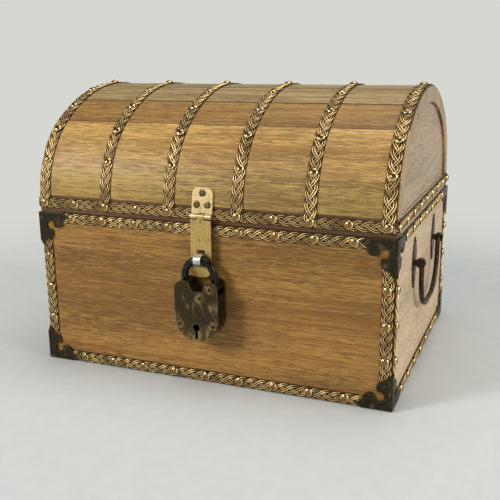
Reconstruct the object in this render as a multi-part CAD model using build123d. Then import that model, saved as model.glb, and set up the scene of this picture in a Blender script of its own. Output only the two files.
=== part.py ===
from build123d import *
import math
import os

# A domed wooden chest with braided metal bands, a hasp and staple, a hanging padlock,
# a bail handle on each end and two hinges behind. Lengths are in millimetres.
# X runs left to right, the front faces -Y, and Z runs up from the face that the chest stands on.

# Body boards
body_width = 396.0
body_depth = 309.0
body_height = 173.5
board = 12.0
floor_thickness = 10.0

# Lid: rails and staves round a three-centred arch
lid_gap = 0.5
lid_straight = 14.0
lid_rise = 117.5
side_radius = 100.0
stave_thickness = 18.0
rail_height = 18.0
stave_widths = (33.0, 58.0, 43.0, 45.0)
lid_end_thickness = 10.0
lid_end_recess = 3.0
lid_end_rail_thickness = 12.0

# Braided metal: bands over the lid and strips round every edge
metal = 1.2
band_width = 15.5
band_count = 6
band_end_height = 2.0
rim_strip_height = 11.4
rim_strip_lift = 4.0
edge_strip_height = 12.0
corner_strip_width = 14.5
base_lift = 1.0

# Round-headed tacks
tack_diameter = 8.5
tack_height = 2.6
band_tack_shares = (0.0, 0.235, 0.43, 0.622, 0.8)
lid_end_tack_count = 9
lid_end_tack_margin = 4.5
body_end_tack_count = 7
body_end_tack_margin = 42.0
front_tack_count = 9
top_tack_margin = 40.0
low_tack_margin = 46.0
corner_tack_count = 3
corner_tack_margin = 50.75

# Corner brackets: one folded sheet with a lobe and a point on every arm
bracket_sheet = 1.2
bracket_arm = 38.0
bracket_lobe_place = 23.0
bracket_lobe_inset = 9.0
bracket_lobe_radius = 8.0
bracket_point_inset = 4.0
bracket_shoulder = 32.0
bracket_notch_place = 14.0
bracket_notch_radius = 5.0
bracket_margin = 0.5

# Hasp: leaf on the lid, hinged strap with a slot, and the staple through the slot
lock_offset = 0.5
hasp_width = 23.0
hasp_leaf_height = 29.0
hasp_leaf_thickness = 1.6
hasp_leaf_lean = 9.5
hasp_leaf_round = 6.5
hasp_strap_length = 63.0
hasp_strap_thickness = 1.8
hasp_strap_round = 10.0
hasp_pin_height = 8.0
knuckle_radius = 3.0
knuckle_gap = 0.4
hasp_pin_radius = 1.2
fit = 0.08
slot_side_clearance = 0.5
slot_top_clearance = 3.1
slot_low_clearance = 2.0
hasp_screw_rise = 23.5
hasp_screw_drop = 11.8
hasp_screw_spread = 11.8

# Countersunk wood screws of the hasp and hinges
screw_head_radius = 3.8
screw_shank_radius = 1.5
screw_length = 11.0
screw_proud = 0.2

# Staple: flat strip bent round, with its two legs through the front board
staple_width = 8.0
staple_strip = 1.8
staple_hole_radius = 4.6
staple_drop = 35.7
shackle_clearance = 0.4

# Padlock
shackle_radius = 3.8
shackle_bend_radius = 16.35
shackle_eye_radius = 5.5
shackle_leg_drop = 8.0
shackle_pivot_drop = 26.8
tongue_width = 3.4
tongue_thickness = 5.0
tongue_length = 21.5
tongue_notch_depth = 2.0
tongue_notch_height = 4.2
tongue_notch_rise = 3.0
case_width = 48.6
case_height = 64.0
case_shoulder_drop = 20.0
case_thickness = 21.0
case_plate = 2.0
case_wall = 2.2
case_boss_radius = 7.8
case_leg_clearance = 1.2
keyhole_radius = 3.9
keyhole_slot_width = 2.8
keyhole_slot_height = 12.5
keyhole_rise = 15.0
rivet_radius = 1.8
rivet_head_radius = 3.0
rivet_head_height = 0.8
bolt_height = 3.2
bolt_length = 14.0
bolt_engagement = 1.5
# Across from the middle and up from the bottom, in shares of half the width and of the height
rivet_shares = ((0.22, 0.74), (-0.77, 0.28), (0.79, 0.285))

# Bail handles and their eye plates, one handle on each end
handle_span = 122.0
handle_drop = 56.0
handle_rod_radius = 2.7
handle_bend_radius = 4.2
handle_bow_radius = 38.0
handle_foot_span = 102.0
eye_radius = 5.2
eye_width = 6.0
eye_standoff = 6.2
eye_shank_radius = 2.5
eye_plate_height = 56.0
eye_plate_width = 20.0
eye_plate_thickness = 1.5
eye_plate_clearance = 6.5
handle_side_gap = 0.5

# Back hinges
hinge_place = 76.0
hinge_width = 40.0
hinge_leaf_height = 24.0
hinge_leaf_thickness = 1.6
hinge_pin_radius = 1.5
hinge_screw_place = 17.0
hinge_screw_spread = 26.0
hinge_screw_step = 7.0

# One overrun serves every cut
overrun = 2.0

# Values that follow from those above
half_width = body_width / 2
half_depth = body_depth / 2
lid_bottom = body_height + lid_gap
spring_z = lid_bottom + lid_straight
lid_top = spring_z + lid_rise
crown_radius = (half_depth**2 + lid_rise**2 - 2 * half_depth * side_radius) / (2 * (lid_rise - side_radius))
crown_turn = math.atan2(half_depth - side_radius, crown_radius - lid_rise)
side_arc = side_radius * (math.pi / 2 - crown_turn)
arch_length = 2 * (side_arc + crown_radius * crown_turn)
strip_low = rim_strip_lift - lid_straight
strip_high = strip_low + rim_strip_height
staple_z = lid_bottom + hasp_pin_height - staple_drop - hasp_pin_height
hasp_pin_y = -(half_depth + metal + knuckle_gap + knuckle_radius)
hasp_pin_z = lid_bottom + hasp_pin_height
strap_outer_y = hasp_pin_y - knuckle_radius
shackle_y = strap_outer_y - shackle_clearance - staple_hole_radius
pivot_x = lock_offset + shackle_bend_radius
pivot_z = staple_z - shackle_pivot_drop
case_top_z = staple_z - case_shoulder_drop
case_low_z = case_top_z - case_height
case_front_y = shackle_y - case_thickness / 2
case_back_y = shackle_y + case_thickness / 2
hinge_pin_y = half_depth + metal + knuckle_gap + knuckle_radius
hinge_pin_z = (body_height + lid_bottom) / 2
eye_x = half_width + eye_plate_thickness + eye_standoff
handle_height = body_height - edge_strip_height - eye_plate_clearance - eye_plate_height / 2


def block(x_from, x_to, y_from, y_to, z_from, z_to):
    """A box between two corners."""
    size = (x_to - x_from, y_to - y_from, z_to - z_from)
    middle = ((x_from + x_to) / 2, (y_from + y_to) / 2, (z_from + z_to) / 2)
    return Pos(*middle) * Box(*size)


def rod_x(radius, x_from, x_to, y, z):
    """A round bar along X."""
    return Pos((x_from + x_to) / 2, y, z) * Rot(Y=90) * Cylinder(radius, x_to - x_from)


def rod_y(radius, x, y_from, y_to, z):
    """A round bar along Y."""
    return Pos(x, (y_from + y_to) / 2, z) * Rot(X=90) * Cylinder(radius, y_to - y_from)


def arch_point(along, lift):
    """A point (y, z) at a distance along the lid's outer face from the front springing, lifted off it."""
    if along > arch_length / 2:
        y, z = arch_point(arch_length - along, lift)
        return -y, z
    if along <= 0:
        return -half_depth - lift, spring_z + along
    if along <= side_arc:
        angle = along / side_radius
        centre_y, centre_z, radius = side_radius - half_depth, spring_z, side_radius
    else:
        angle = math.pi / 2 - crown_turn + (along - side_arc) / crown_radius
        centre_y, centre_z, radius = 0, lid_top - crown_radius, crown_radius
    return centre_y - (radius + lift) * math.cos(angle), centre_z + (radius + lift) * math.sin(angle)


def arch_normal(along):
    """The outward direction of the lid's face at a place along the arch."""
    y_face, z_face = arch_point(along, 0)
    y_out, z_out = arch_point(along, metal)
    return Vector(0, y_out - y_face, z_out - z_face).normalized()


def arch_edges(start, end, lift):
    """The arcs and straight parts of the lid's outline between two places along it."""
    joins = (0, side_arc, arch_length - side_arc, arch_length)
    stops = [start] + [join for join in joins if start < join < end] + [end]
    edges = []
    for a, b in zip(stops, stops[1:]):
        straight = b <= 0 or a >= arch_length
        if straight:
            edges.append(Line(arch_point(a, lift), arch_point(b, lift)))
        else:
            edges.append(ThreePointArc(arch_point(a, lift), arch_point((a + b) / 2, lift), arch_point(b, lift)))
    return edges


def arch_slab(start, end, lift_in, lift_out, x_from, x_to):
    """A slab that follows the arch, between two lifts and two places across the lid."""
    sides = [Line(arch_point(s, lift_in), arch_point(s, lift_out)) for s in (start, end)]
    face = make_face(arch_edges(start, end, lift_in) + arch_edges(start, end, lift_out) + sides)
    return Pos(X=x_from) * extrude(Plane.YZ * face, amount=x_to - x_from)


def both_ends(piece):
    """The piece and its mirror image on the other end of the chest."""
    return [piece, mirror(piece, about=Plane.YZ)]


def facing(point, normal):
    """A place whose own Z axis points along the normal."""
    return Plane(origin=point, z_dir=normal).location


def bit(radius, depth, place):
    """A drill bit that enters the face at a place and runs against its normal."""
    return place * Pos(Z=(overrun - depth) / 2) * Cylinder(radius, depth + overrun)


def screw(place, head_depth):
    """A countersunk screw: its head fills the countersink and stands a little proud."""
    shank_length = screw_length - head_depth
    head = Pos(Z=-head_depth / 2) * Cone(screw_shank_radius, screw_head_radius, head_depth)
    rim = Pos(Z=screw_proud / 2) * Cylinder(screw_head_radius, screw_proud)
    shank = Pos(Z=-head_depth - shank_length / 2) * Cylinder(screw_shank_radius, shank_length)
    return place * (head + rim + shank)


def countersink(place, head_depth):
    """The cutter of a countersunk hole."""
    cone = Pos(Z=-head_depth / 2) * Cone(screw_shank_radius, screw_head_radius, head_depth)
    return place * (cone + Pos(Z=-head_depth) * Cylinder(screw_shank_radius, screw_length))


def tack(place):
    """The domed head of one tack, flat side down."""
    ball_radius = ((tack_diameter / 2) ** 2 + tack_height**2) / (2 * tack_height)
    ball = Pos(Z=tack_height - ball_radius) * Sphere(ball_radius)
    return place * split(ball, bisect_by=Plane.XY, keep=Keep.TOP)


def spread(count, reach):
    """Evenly spaced places between two ends at the same reach from zero."""
    return [(2 * i / (count - 1) - 1) * reach for i in range(count)]


def knuckle_spans(width):
    """Three knuckles across a hinge: the outer pair, and the middle one."""
    third = width / 3
    outer = [(-width / 2, -third / 2 - knuckle_gap / 2), (third / 2 + knuckle_gap / 2, width / 2)]
    return outer, [(-third / 2 + knuckle_gap / 2, third / 2 - knuckle_gap / 2)]


def leaf(width, reach, thickness, seat, spans, bore):
    """A hinge leaf below its pin, which lies along X at the origin. The plate's back is at y = seat."""
    edge = knuckle_radius + knuckle_gap
    part = block(-width / 2, width / 2, seat - thickness, seat, -reach, -edge)
    for start, end in spans:
        part += block(start, end, seat - thickness, seat, -edge, 0)
        part += rod_x(knuckle_radius, start, end, 0, 0)
    return part - rod_x(bore, -width, width, 0, 0)


def body_boards():
    """The four walls and the floor, with the holes for the staple, the handle eyes and the hinge screws."""
    front = block(-half_width, half_width, -half_depth, board - half_depth, 0, body_height)
    back = block(-half_width, half_width, half_depth - board, half_depth, 0, body_height)
    right = block(half_width - board, half_width, board - half_depth, half_depth - board, 0, body_height)
    inside = half_width - board
    bottom = block(-inside, inside, board - half_depth, half_depth - board, 0, floor_thickness)
    for side in (-1, 1):
        leg_z = staple_z + side * (staple_hole_radius + staple_strip / 2)
        across = staple_width / 2
        up = staple_strip / 2
        front -= block(lock_offset - across, lock_offset + across, -half_depth - overrun,
                       board - half_depth + overrun, leg_z - up, leg_z + up)
        y = side * handle_span / 2
        right -= rod_x(eye_shank_radius, inside - overrun, half_width + overrun, y, handle_height)
    for place in body_hinge_screw_places():
        back -= bit(screw_shank_radius, screw_length, place)
    right, left = both_ends(right)
    return {"front_panel": front, "back_panel": back, "right_end_panel": right,
            "left_end_panel": left, "bottom_board": bottom}


def lid_wood():
    """The two rails, the nine staves and the two end boards of the lid."""
    low = -lid_straight
    high = arch_length + lid_straight
    rail_end = low + rail_height
    seams = [rail_end]
    for width in stave_widths:
        seams.append(seams[-1] + width)
    seams += [arch_length - s for s in reversed(seams)]
    spans = {"lid_rail_front": (low, rail_end), "lid_rail_back": (arch_length - rail_end, high)}
    for i, span in enumerate(zip(seams, seams[1:])):
        spans[f"lid_stave_{i + 1}"] = span
    parts = {}
    for name, (start, end) in spans.items():
        parts[name] = arch_slab(start, end, -stave_thickness, 0, -half_width, half_width)
    for place in hasp_screw_places():
        for name in ("lid_rail_front", "lid_stave_1"):
            parts[name] -= bit(screw_shank_radius, screw_length, place)
    for place in lid_hinge_screw_places():
        for name in ("lid_rail_back", "lid_stave_9"):
            parts[name] -= bit(screw_shank_radius, screw_length, place)
    inner = half_depth - stave_thickness
    edges = arch_edges(low, high, -stave_thickness) + [Line((-inner, lid_bottom), (inner, lid_bottom))]
    face_x = half_width - lid_end_recess
    outline = Plane.YZ * make_face(edges)
    panel = Pos(X=face_x - lid_end_thickness) * extrude(outline, amount=lid_end_thickness)
    rail = Pos(X=half_width - lid_end_rail_thickness) * extrude(outline, amount=lid_end_rail_thickness)
    rail &= block(0, half_width, -half_depth, half_depth, lid_bottom, spring_z + strip_high)
    parts["lid_end_right"], parts["lid_end_left"] = both_ends(panel + rail)
    return parts


def lid_bands():
    """The bands over the lid. Each steps over the rim strips and ends near their lower edge."""
    parts = {}
    for i, x in enumerate(spread(band_count, half_width - band_width / 2)):
        x_from, x_to = x - band_width / 2, x + band_width / 2
        band = arch_slab(strip_high, arch_length - strip_high, 0, metal, x_from, x_to)
        foot = strip_low + band_end_height
        step = strip_high + metal
        band += arch_slab(foot, step, metal, 2 * metal, x_from, x_to)
        band += arch_slab(arch_length - step, arch_length - foot, metal, 2 * metal, x_from, x_to)
        parts[f"lid_band_{i + 1}"] = band
    return parts


def rim_strips():
    """The braided strips round the lower edge of the lid."""
    front = arch_slab(strip_low, strip_high, 0, metal, -half_width, half_width)
    back = mirror(front, about=Plane.XZ)
    for place in lid_hinge_screw_places():
        back -= bit(screw_shank_radius, screw_length, place)
    z_from = spring_z + strip_low
    y_end = half_depth + metal
    right = block(half_width, half_width + metal, -y_end, y_end, z_from, z_from + rim_strip_height)
    right, left = both_ends(right)
    return {"rim_strip_front": front, "rim_strip_back": back, "rim_strip_right": right, "rim_strip_left": left}


def edge_strip_set(z_from):
    """The strips round the body at one height: front, back, right and left."""
    z_to = z_from + edge_strip_height
    x_end = half_width + metal
    front = block(-x_end, x_end, -half_depth - metal, -half_depth, z_from, z_to)
    right = block(half_width, half_width + metal, -half_depth, half_depth, z_from, z_to)
    return [front, mirror(front, about=Plane.XZ)] + both_ends(right)


def body_strips():
    """The braided strips round the top and bottom edges of the body and up its corners."""
    top = edge_strip_set(body_height - edge_strip_height)
    for place in body_hinge_screw_places():
        top[1] -= bit(screw_shank_radius, screw_length, place)
    names = ("top_strip_front", "top_strip_back", "top_strip_right", "top_strip_left")
    parts = dict(zip(names, top))
    parts["bottom_strips"] = Compound(edge_strip_set(base_lift))
    z_from = base_lift + edge_strip_height
    z_to = body_height - edge_strip_height
    x_in, y_in = half_width - corner_strip_width, half_depth - corner_strip_width
    x_out, y_out = half_width + metal, half_depth + metal
    corner = block(x_in, x_out, -y_out, -half_depth, z_from, z_to)
    corner += block(half_width, x_out, -y_out, -y_in, z_from, z_to)
    fronts = both_ends(corner)
    parts["corner_strips"] = Compound(fronts + [mirror(c, about=Plane.XZ) for c in fronts])
    return parts


def bracket_wing():
    """The outline of one wing of a corner bracket, with the corner at the origin."""
    reach = bracket_lobe_inset + bracket_lobe_radius / 2
    point = Polygon((0, 0), (bracket_shoulder, 0), (bracket_arm, bracket_point_inset),
                    (bracket_lobe_place, reach), (0, reach), align=None)
    lobe = Pos(bracket_lobe_place, bracket_lobe_inset) * Circle(bracket_lobe_radius)
    arm = point + lobe
    wing = arm + mirror(arm, about=Plane.XZ.rotated((0, 0, 45)))
    wing -= Pos(bracket_notch_place, bracket_notch_place) * Circle(bracket_notch_radius)
    return wing


def corner_brackets():
    """Four upper and four lower brackets, each folded round a corner of the body."""
    top = body_height - bracket_margin
    x_face, y_face = half_width + metal, -half_depth - metal
    x_out, y_out = x_face + bracket_sheet, y_face - bracket_sheet
    outline = bracket_wing()
    front = extrude(Plane((x_out, y_face, top), x_dir=(-1, 0, 0), z_dir=(0, -1, 0)) * outline, amount=bracket_sheet)
    side = extrude(Plane((x_face, y_out, top), x_dir=(0, 0, -1), z_dir=(1, 0, 0)) * outline, amount=bracket_sheet)
    fronts = both_ends(front + side)
    upper = fronts + [mirror(b, about=Plane.XZ) for b in fronts]
    middle = Plane.XY.offset(body_height / 2)
    lower = [mirror(b, about=middle) for b in upper]
    return {"upper_corner_brackets": Compound(upper), "lower_corner_brackets": Compound(lower)}


def lid_tacks():
    """Tacks along every band and round the rim strips of the lid."""
    bands = spread(band_count, half_width - band_width / 2)
    lifts = (metal, 2 * metal)
    heads = []
    for x in bands:
        for share in band_tack_shares:
            along = arch_length / 2 * (1 - share)
            for place in sorted({along, arch_length - along}):
                y, z = arch_point(place, lifts[0])
                heads.append(tack(facing((x, y, z), arch_normal(place))))
        heads += rim_tacks(x, lifts[1])
    for x in [(left + right) / 2 for left, right in zip(bands, bands[1:])]:
        front, back = rim_tacks(x, lifts[0])
        if abs(x - lock_offset) > hasp_width:
            heads.append(front)
        if clear_of_hinges(x):
            heads.append(back)
    z = spring_z + (strip_low + strip_high) / 2
    for y in spread(lid_end_tack_count, half_depth - lid_end_tack_margin):
        heads += both_ends(tack(facing((half_width + metal, y, z), (1, 0, 0))))
    return {"lid_tacks": Compound(heads)}


def clear_of_hinges(x):
    """Whether a tack at this place across the back misses both hinges."""
    return abs(abs(x) - hinge_place) > (hinge_width + tack_diameter) / 2


def rim_tacks(x, lift):
    """A front and a back tack on the rim strips."""
    along = (strip_low + strip_high) / 2
    y, z = arch_point(along, lift)
    return [tack(facing((x, y, z), (0, -1, 0))), tack(facing((x, -y, z), (0, 1, 0)))]


def body_tacks():
    """Tacks along the strips of the body. The strap of the hasp covers the place of one."""
    top_z = body_height - edge_strip_height / 2
    low_z = base_lift + edge_strip_height / 2
    middle_z = body_height / 2
    face_x, face_y = half_width + metal, half_depth + metal
    heads = []
    for side in (-1, 1):
        for x in spread(front_tack_count, half_width - top_tack_margin):
            clear = clear_of_hinges(x) if side > 0 else abs(x - lock_offset) > hasp_width
            if clear:
                heads.append(tack(facing((x, side * face_y, top_z), (0, side, 0))))
        for x in spread(front_tack_count, half_width - low_tack_margin):
            heads.append(tack(facing((x, side * face_y, low_z), (0, side, 0))))
        for y in spread(body_end_tack_count, half_depth - body_end_tack_margin):
            for z in (top_z, low_z):
                heads.append(tack(facing((side * face_x, y, z), (side, 0, 0))))
        for z in spread(corner_tack_count, middle_z - corner_tack_margin):
            for other in (-1, 1):
                x = other * (half_width - corner_strip_width / 2)
                heads.append(tack(facing((x, side * face_y, middle_z + z), (0, side, 0))))
                y = other * (half_depth - corner_strip_width / 2)
                heads.append(tack(facing((side * face_x, y, middle_z + z), (side, 0, 0))))
    return {"body_tacks": Compound(heads)}


def hasp_leaf_frame():
    """The place of the leaf on the lid: at its pin, leaning back with the dome."""
    return Location((lock_offset, hasp_pin_y, hasp_pin_z), (-hasp_leaf_lean, 0, 0))


def hasp_leaf_seat():
    """How far behind the pin the leaf's back lies, so that it bears on the rim strip's upper edge."""
    edge_rise = spring_z + strip_high - hasp_pin_z
    lean = math.radians(hasp_leaf_lean)
    return (knuckle_radius + knuckle_gap - edge_rise * math.tan(lean)) * math.cos(lean)


def hasp_screw_places():
    """The places of the three hasp screws on the outer face of the leaf, pointing outwards."""
    face = hasp_leaf_seat() - hasp_leaf_thickness
    outwards = Location((0, 0, 0), (90, 0, 0))
    spots = [(0, hasp_screw_rise), (-hasp_screw_spread / 2, hasp_screw_drop), (hasp_screw_spread / 2, hasp_screw_drop)]
    return [hasp_leaf_frame() * Pos(x, face, z) * outwards for x, z in spots]


def hasp():
    """The leaf on the lid, the swinging strap with its slot, the pin and the three screws."""
    outer, inner = knuckle_spans(hasp_width)
    plate = leaf(hasp_width, hasp_leaf_height, hasp_leaf_thickness, hasp_leaf_seat(), outer, hasp_pin_radius)
    corners = plate.edges().filter_by(Axis.Y).group_by(Axis.Z)[0]
    plate = hasp_leaf_frame() * mirror(fillet(corners, hasp_leaf_round), about=Plane.XY)
    screws = []
    for place in hasp_screw_places():
        plate -= countersink(place, hasp_leaf_thickness)
        screws.append(screw(place, hasp_leaf_thickness))
    seat = hasp_strap_thickness - knuckle_radius
    strap = leaf(hasp_width, hasp_strap_length, hasp_strap_thickness, seat, inner, hasp_pin_radius + fit)
    strap = fillet(strap.edges().filter_by(Axis.Y).group_by(Axis.Z)[0], hasp_strap_round)
    strap = Pos(lock_offset, hasp_pin_y, hasp_pin_z) * strap
    reach = staple_hole_radius + staple_strip
    across = staple_width / 2 + slot_side_clearance
    strap -= block(lock_offset - across, lock_offset + across, shackle_y, -half_depth,
                   staple_z - reach - slot_low_clearance, staple_z + reach + slot_top_clearance)
    pin = rod_x(hasp_pin_radius, lock_offset - hasp_width / 2, lock_offset + hasp_width / 2, hasp_pin_y, hasp_pin_z)
    return {"hasp_leaf": plate, "hasp_strap": strap, "hasp_pin": pin, "hasp_screws": Compound(screws)}


def staple():
    """A flat strip bent into a loop with its two legs through the front board."""
    outer_radius = staple_hole_radius + staple_strip
    x_from, x_to = lock_offset - staple_width / 2, lock_offset + staple_width / 2
    inner_y = board - half_depth
    body = rod_x(outer_radius, x_from, x_to, shackle_y, staple_z)
    body += block(x_from, x_to, shackle_y, inner_y, staple_z - outer_radius, staple_z + outer_radius)
    hole = rod_x(staple_hole_radius, x_from - overrun, x_to + overrun, shackle_y, staple_z)
    hole += block(x_from - overrun, x_to + overrun, shackle_y, inner_y + overrun,
                  staple_z - staple_hole_radius, staple_z + staple_hole_radius)
    return {"staple": body - hole}


def shackle():
    """A round bar bent over, with an eye at the right leg and a notched tongue at the left."""
    top_z = staple_z - shackle_bend_radius
    left_x, right_x = lock_offset - shackle_bend_radius, pivot_x
    foot_z = top_z - shackle_leg_drop - tongue_width
    path = Line((left_x, shackle_y, foot_z), (left_x, shackle_y, top_z))
    path += ThreePointArc((left_x, shackle_y, top_z), (lock_offset, shackle_y, staple_z), (right_x, shackle_y, top_z))
    path += Line((right_x, shackle_y, top_z), (right_x, shackle_y, pivot_z))
    bar = sweep(Plane((left_x, shackle_y, foot_z), z_dir=(0, 0, 1)) * Circle(shackle_radius), path=path)
    half_eye = case_thickness / 2 - case_plate - case_leg_clearance
    bar += rod_y(shackle_eye_radius, pivot_x, shackle_y - half_eye, shackle_y + half_eye, pivot_z)
    bar -= rod_y(rivet_radius + fit, pivot_x, case_front_y, case_back_y, pivot_z)
    tip_z = foot_z - tongue_length + shackle_leg_drop
    inner_x = left_x + shackle_radius
    half = tongue_thickness / 2
    bar += block(inner_x - tongue_width, inner_x, shackle_y - half, shackle_y + half, tip_z, foot_z + tongue_width)
    notch_z = tip_z + tongue_notch_rise
    bar -= block(inner_x - tongue_notch_depth, inner_x + overrun, shackle_y - half - overrun,
                 shackle_y + half + overrun, notch_z, notch_z + tongue_notch_height)
    return bar, inner_x, notch_z


def case_outline(inset):
    """The outline of the padlock's case: two shoulders, a notch between them and a round bottom."""
    half = case_width / 2 - inset
    low, top = case_low_z + inset, case_top_z - inset
    side_z = case_low_z + case_width / 2
    boss = case_boss_radius - inset
    middle_x = lock_offset
    left_x, right_x = middle_x - half, middle_x + half
    floor_z = pivot_z - case_boss_radius / 2 - inset
    crest_x = middle_x - shackle_bend_radius
    dip_x = middle_x - case_boss_radius - inset
    slope_x = middle_x - case_boss_radius / 2 - inset
    shoulder_z = pivot_z - case_boss_radius / 2
    edges = [ThreePointArc((left_x, side_z), (middle_x, low), (right_x, side_z)),
             Line((right_x, side_z), (pivot_x + boss, pivot_z)),
             ThreePointArc((pivot_x + boss, pivot_z), (pivot_x, pivot_z + boss), (pivot_x - boss, pivot_z)),
             Line((pivot_x - boss, pivot_z), (pivot_x - boss - case_wall, floor_z)),
             Line((pivot_x - boss - case_wall, floor_z), (slope_x, floor_z)),
             Line((slope_x, floor_z), (dip_x, top - case_wall)),
             ThreePointArc((dip_x, top - case_wall), (crest_x, top), (left_x, shoulder_z)),
             Line((left_x, shoulder_z), (left_x, side_z))]
    return make_face(edges)


def case_slab(outline, y_from, y_to):
    """A plate of the given outline in the XZ plane, between two depths."""
    return Pos(Y=y_to) * extrude(Plane.XZ * outline, amount=y_to - y_from)


def padlock():
    """The shackle, the case's plates, side band and the bridge of its notch, the bolt and the rivets."""
    bar, tongue_x, notch_z = shackle()
    inner_front, inner_back = case_front_y + case_plate, case_back_y - case_plate
    front = case_slab(case_outline(0), case_front_y, inner_front)
    back = case_slab(case_outline(0), inner_back, case_back_y)
    band = case_slab(case_outline(0), inner_front, inner_back)
    band -= case_slab(case_outline(case_wall), inner_front - overrun, inner_back + overrun)
    # The band is open over the eye, down the right side as far as the shackle turns, and over the left leg
    open_z = pivot_z - shackle_eye_radius - case_leg_clearance
    open_x = pivot_x - case_boss_radius - case_wall - case_leg_clearance
    band -= block(open_x, lock_offset + case_width, inner_front - overrun, inner_back + overrun,
                  open_z, pivot_z + case_width)
    leg_x = lock_offset - shackle_bend_radius
    leg_side = shackle_radius + case_leg_clearance
    band -= block(leg_x - leg_side, leg_x + leg_side, inner_front - overrun, inner_back + overrun,
                  pivot_z - case_leg_clearance, pivot_z + case_width)
    bridge, band = sorted(band.solids(), key=lambda piece: piece.volume)
    key_z = case_low_z + keyhole_rise
    front -= rod_y(keyhole_radius, lock_offset, case_front_y - overrun, inner_front + overrun, key_z)
    front -= block(lock_offset - keyhole_slot_width / 2, lock_offset + keyhole_slot_width / 2,
                   case_front_y - overrun, inner_front + overrun, key_z - keyhole_slot_height, key_z)
    spots = [(pivot_x, pivot_z)]
    for across, up in rivet_shares:
        spots.append((lock_offset + across * case_width / 2, case_low_z + up * case_height))
    rivets = []
    for x, z in spots:
        shank = rod_y(rivet_radius, x, case_front_y - rivet_head_height, case_back_y + rivet_head_height, z)
        hole = rod_y(rivet_radius, x, case_front_y - overrun, case_back_y + overrun, z)
        front -= hole
        back -= hole
        shank += rod_y(rivet_head_radius, x, case_front_y - rivet_head_height, case_front_y, z)
        shank += rod_y(rivet_head_radius, x, case_back_y, case_back_y + rivet_head_height, z)
        rivets.append(shank)
    bolt_x = tongue_x - bolt_engagement
    bolt_z = notch_z + (tongue_notch_height - bolt_height) / 2
    bolt = block(bolt_x, bolt_x + bolt_length, inner_front + shackle_clearance,
                 inner_back - shackle_clearance, bolt_z, bolt_z + bolt_height)
    return {"padlock_shackle": bar, "padlock_front_plate": front, "padlock_back_plate": back,
            "padlock_side_band": band, "padlock_bridge": bridge, "padlock_bolt": bolt, "padlock_rivets": Compound(rivets)}


def handle_bail():
    """The bail of the right handle, hanging from its eyes."""
    leg_y = handle_span / 2 - eye_width / 2 - handle_side_gap - handle_bend_radius
    end_y = handle_span / 2 + eye_width / 2
    foot_y = handle_foot_span / 2
    low_z = handle_height - handle_drop
    points = [(eye_x, -end_y, handle_height), (eye_x, -leg_y, handle_height), (eye_x, -foot_y, low_z),
              (eye_x, foot_y, low_z), (eye_x, leg_y, handle_height), (eye_x, end_y, handle_height)]
    radii = [handle_bend_radius, handle_bow_radius, handle_bow_radius, handle_bend_radius]
    path = FilletPolyline(*points, radius=radii)
    section = Plane(points[0], z_dir=(0, 1, 0)) * Circle(handle_rod_radius)
    return sweep(section, path=path)


def handle_eye():
    """An eye plate of the right handle: a leaf-shaped plate, the eye and its shank through the board."""
    y = handle_span / 2
    half_height, half = eye_plate_height / 2, eye_plate_width / 2
    sides = [ThreePointArc((y, handle_height - half_height), (y + side * half, handle_height),
                           (y, handle_height + half_height)) for side in (-1, 1)]
    plate = Pos(X=half_width) * extrude(Plane.YZ * make_face(sides), amount=eye_plate_thickness)
    eye = rod_y(eye_radius, eye_x, y - eye_width / 2, y + eye_width / 2, handle_height)
    eye += block(half_width, eye_x, y - eye_width / 2, y + eye_width / 2,
                 handle_height - eye_radius / 2, handle_height + eye_radius / 2)
    shank = rod_x(eye_shank_radius, half_width - board, half_width + eye_plate_thickness, y, handle_height)
    return plate + eye + shank - rod_y(handle_rod_radius + fit, eye_x, y - eye_width, y + eye_width, handle_height)


def handles():
    """A bail handle on each end, and the four eye plates that carry them."""
    right, left = both_ends(handle_bail())
    rights = [handle_eye(), mirror(handle_eye(), about=Plane.XZ)]
    lefts = [mirror(eye, about=Plane.YZ) for eye in rights]
    return {"handle_right": right, "handle_left": left, "handle_eyes": Compound(rights + lefts)}


def hinge_screw_spots():
    """Three screws in each leaf, across from the middle and away from the pin."""
    low = hinge_screw_place + hinge_screw_step / 2 - hinge_screw_step
    return [(-hinge_screw_spread / 2, low), (0, hinge_screw_place + hinge_screw_step / 2),
            (hinge_screw_spread / 2, low)]


def hinge_screw_places_at(up):
    """The screw places of both hinges, below the pin or above it, pointing backwards."""
    face = half_depth + metal + hinge_leaf_thickness
    outwards = Location((0, 0, 0), (-90, 0, 0))
    places = []
    for x in (-hinge_place, hinge_place):
        for across, away in hinge_screw_spots():
            places.append(Pos(x + across, face, hinge_pin_z + up * away) * outwards)
    return places


def body_hinge_screw_places():
    """The screws of the lower leaves."""
    return hinge_screw_places_at(-1)


def lid_hinge_screw_places():
    """The screws of the upper leaves."""
    return hinge_screw_places_at(1)


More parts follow.
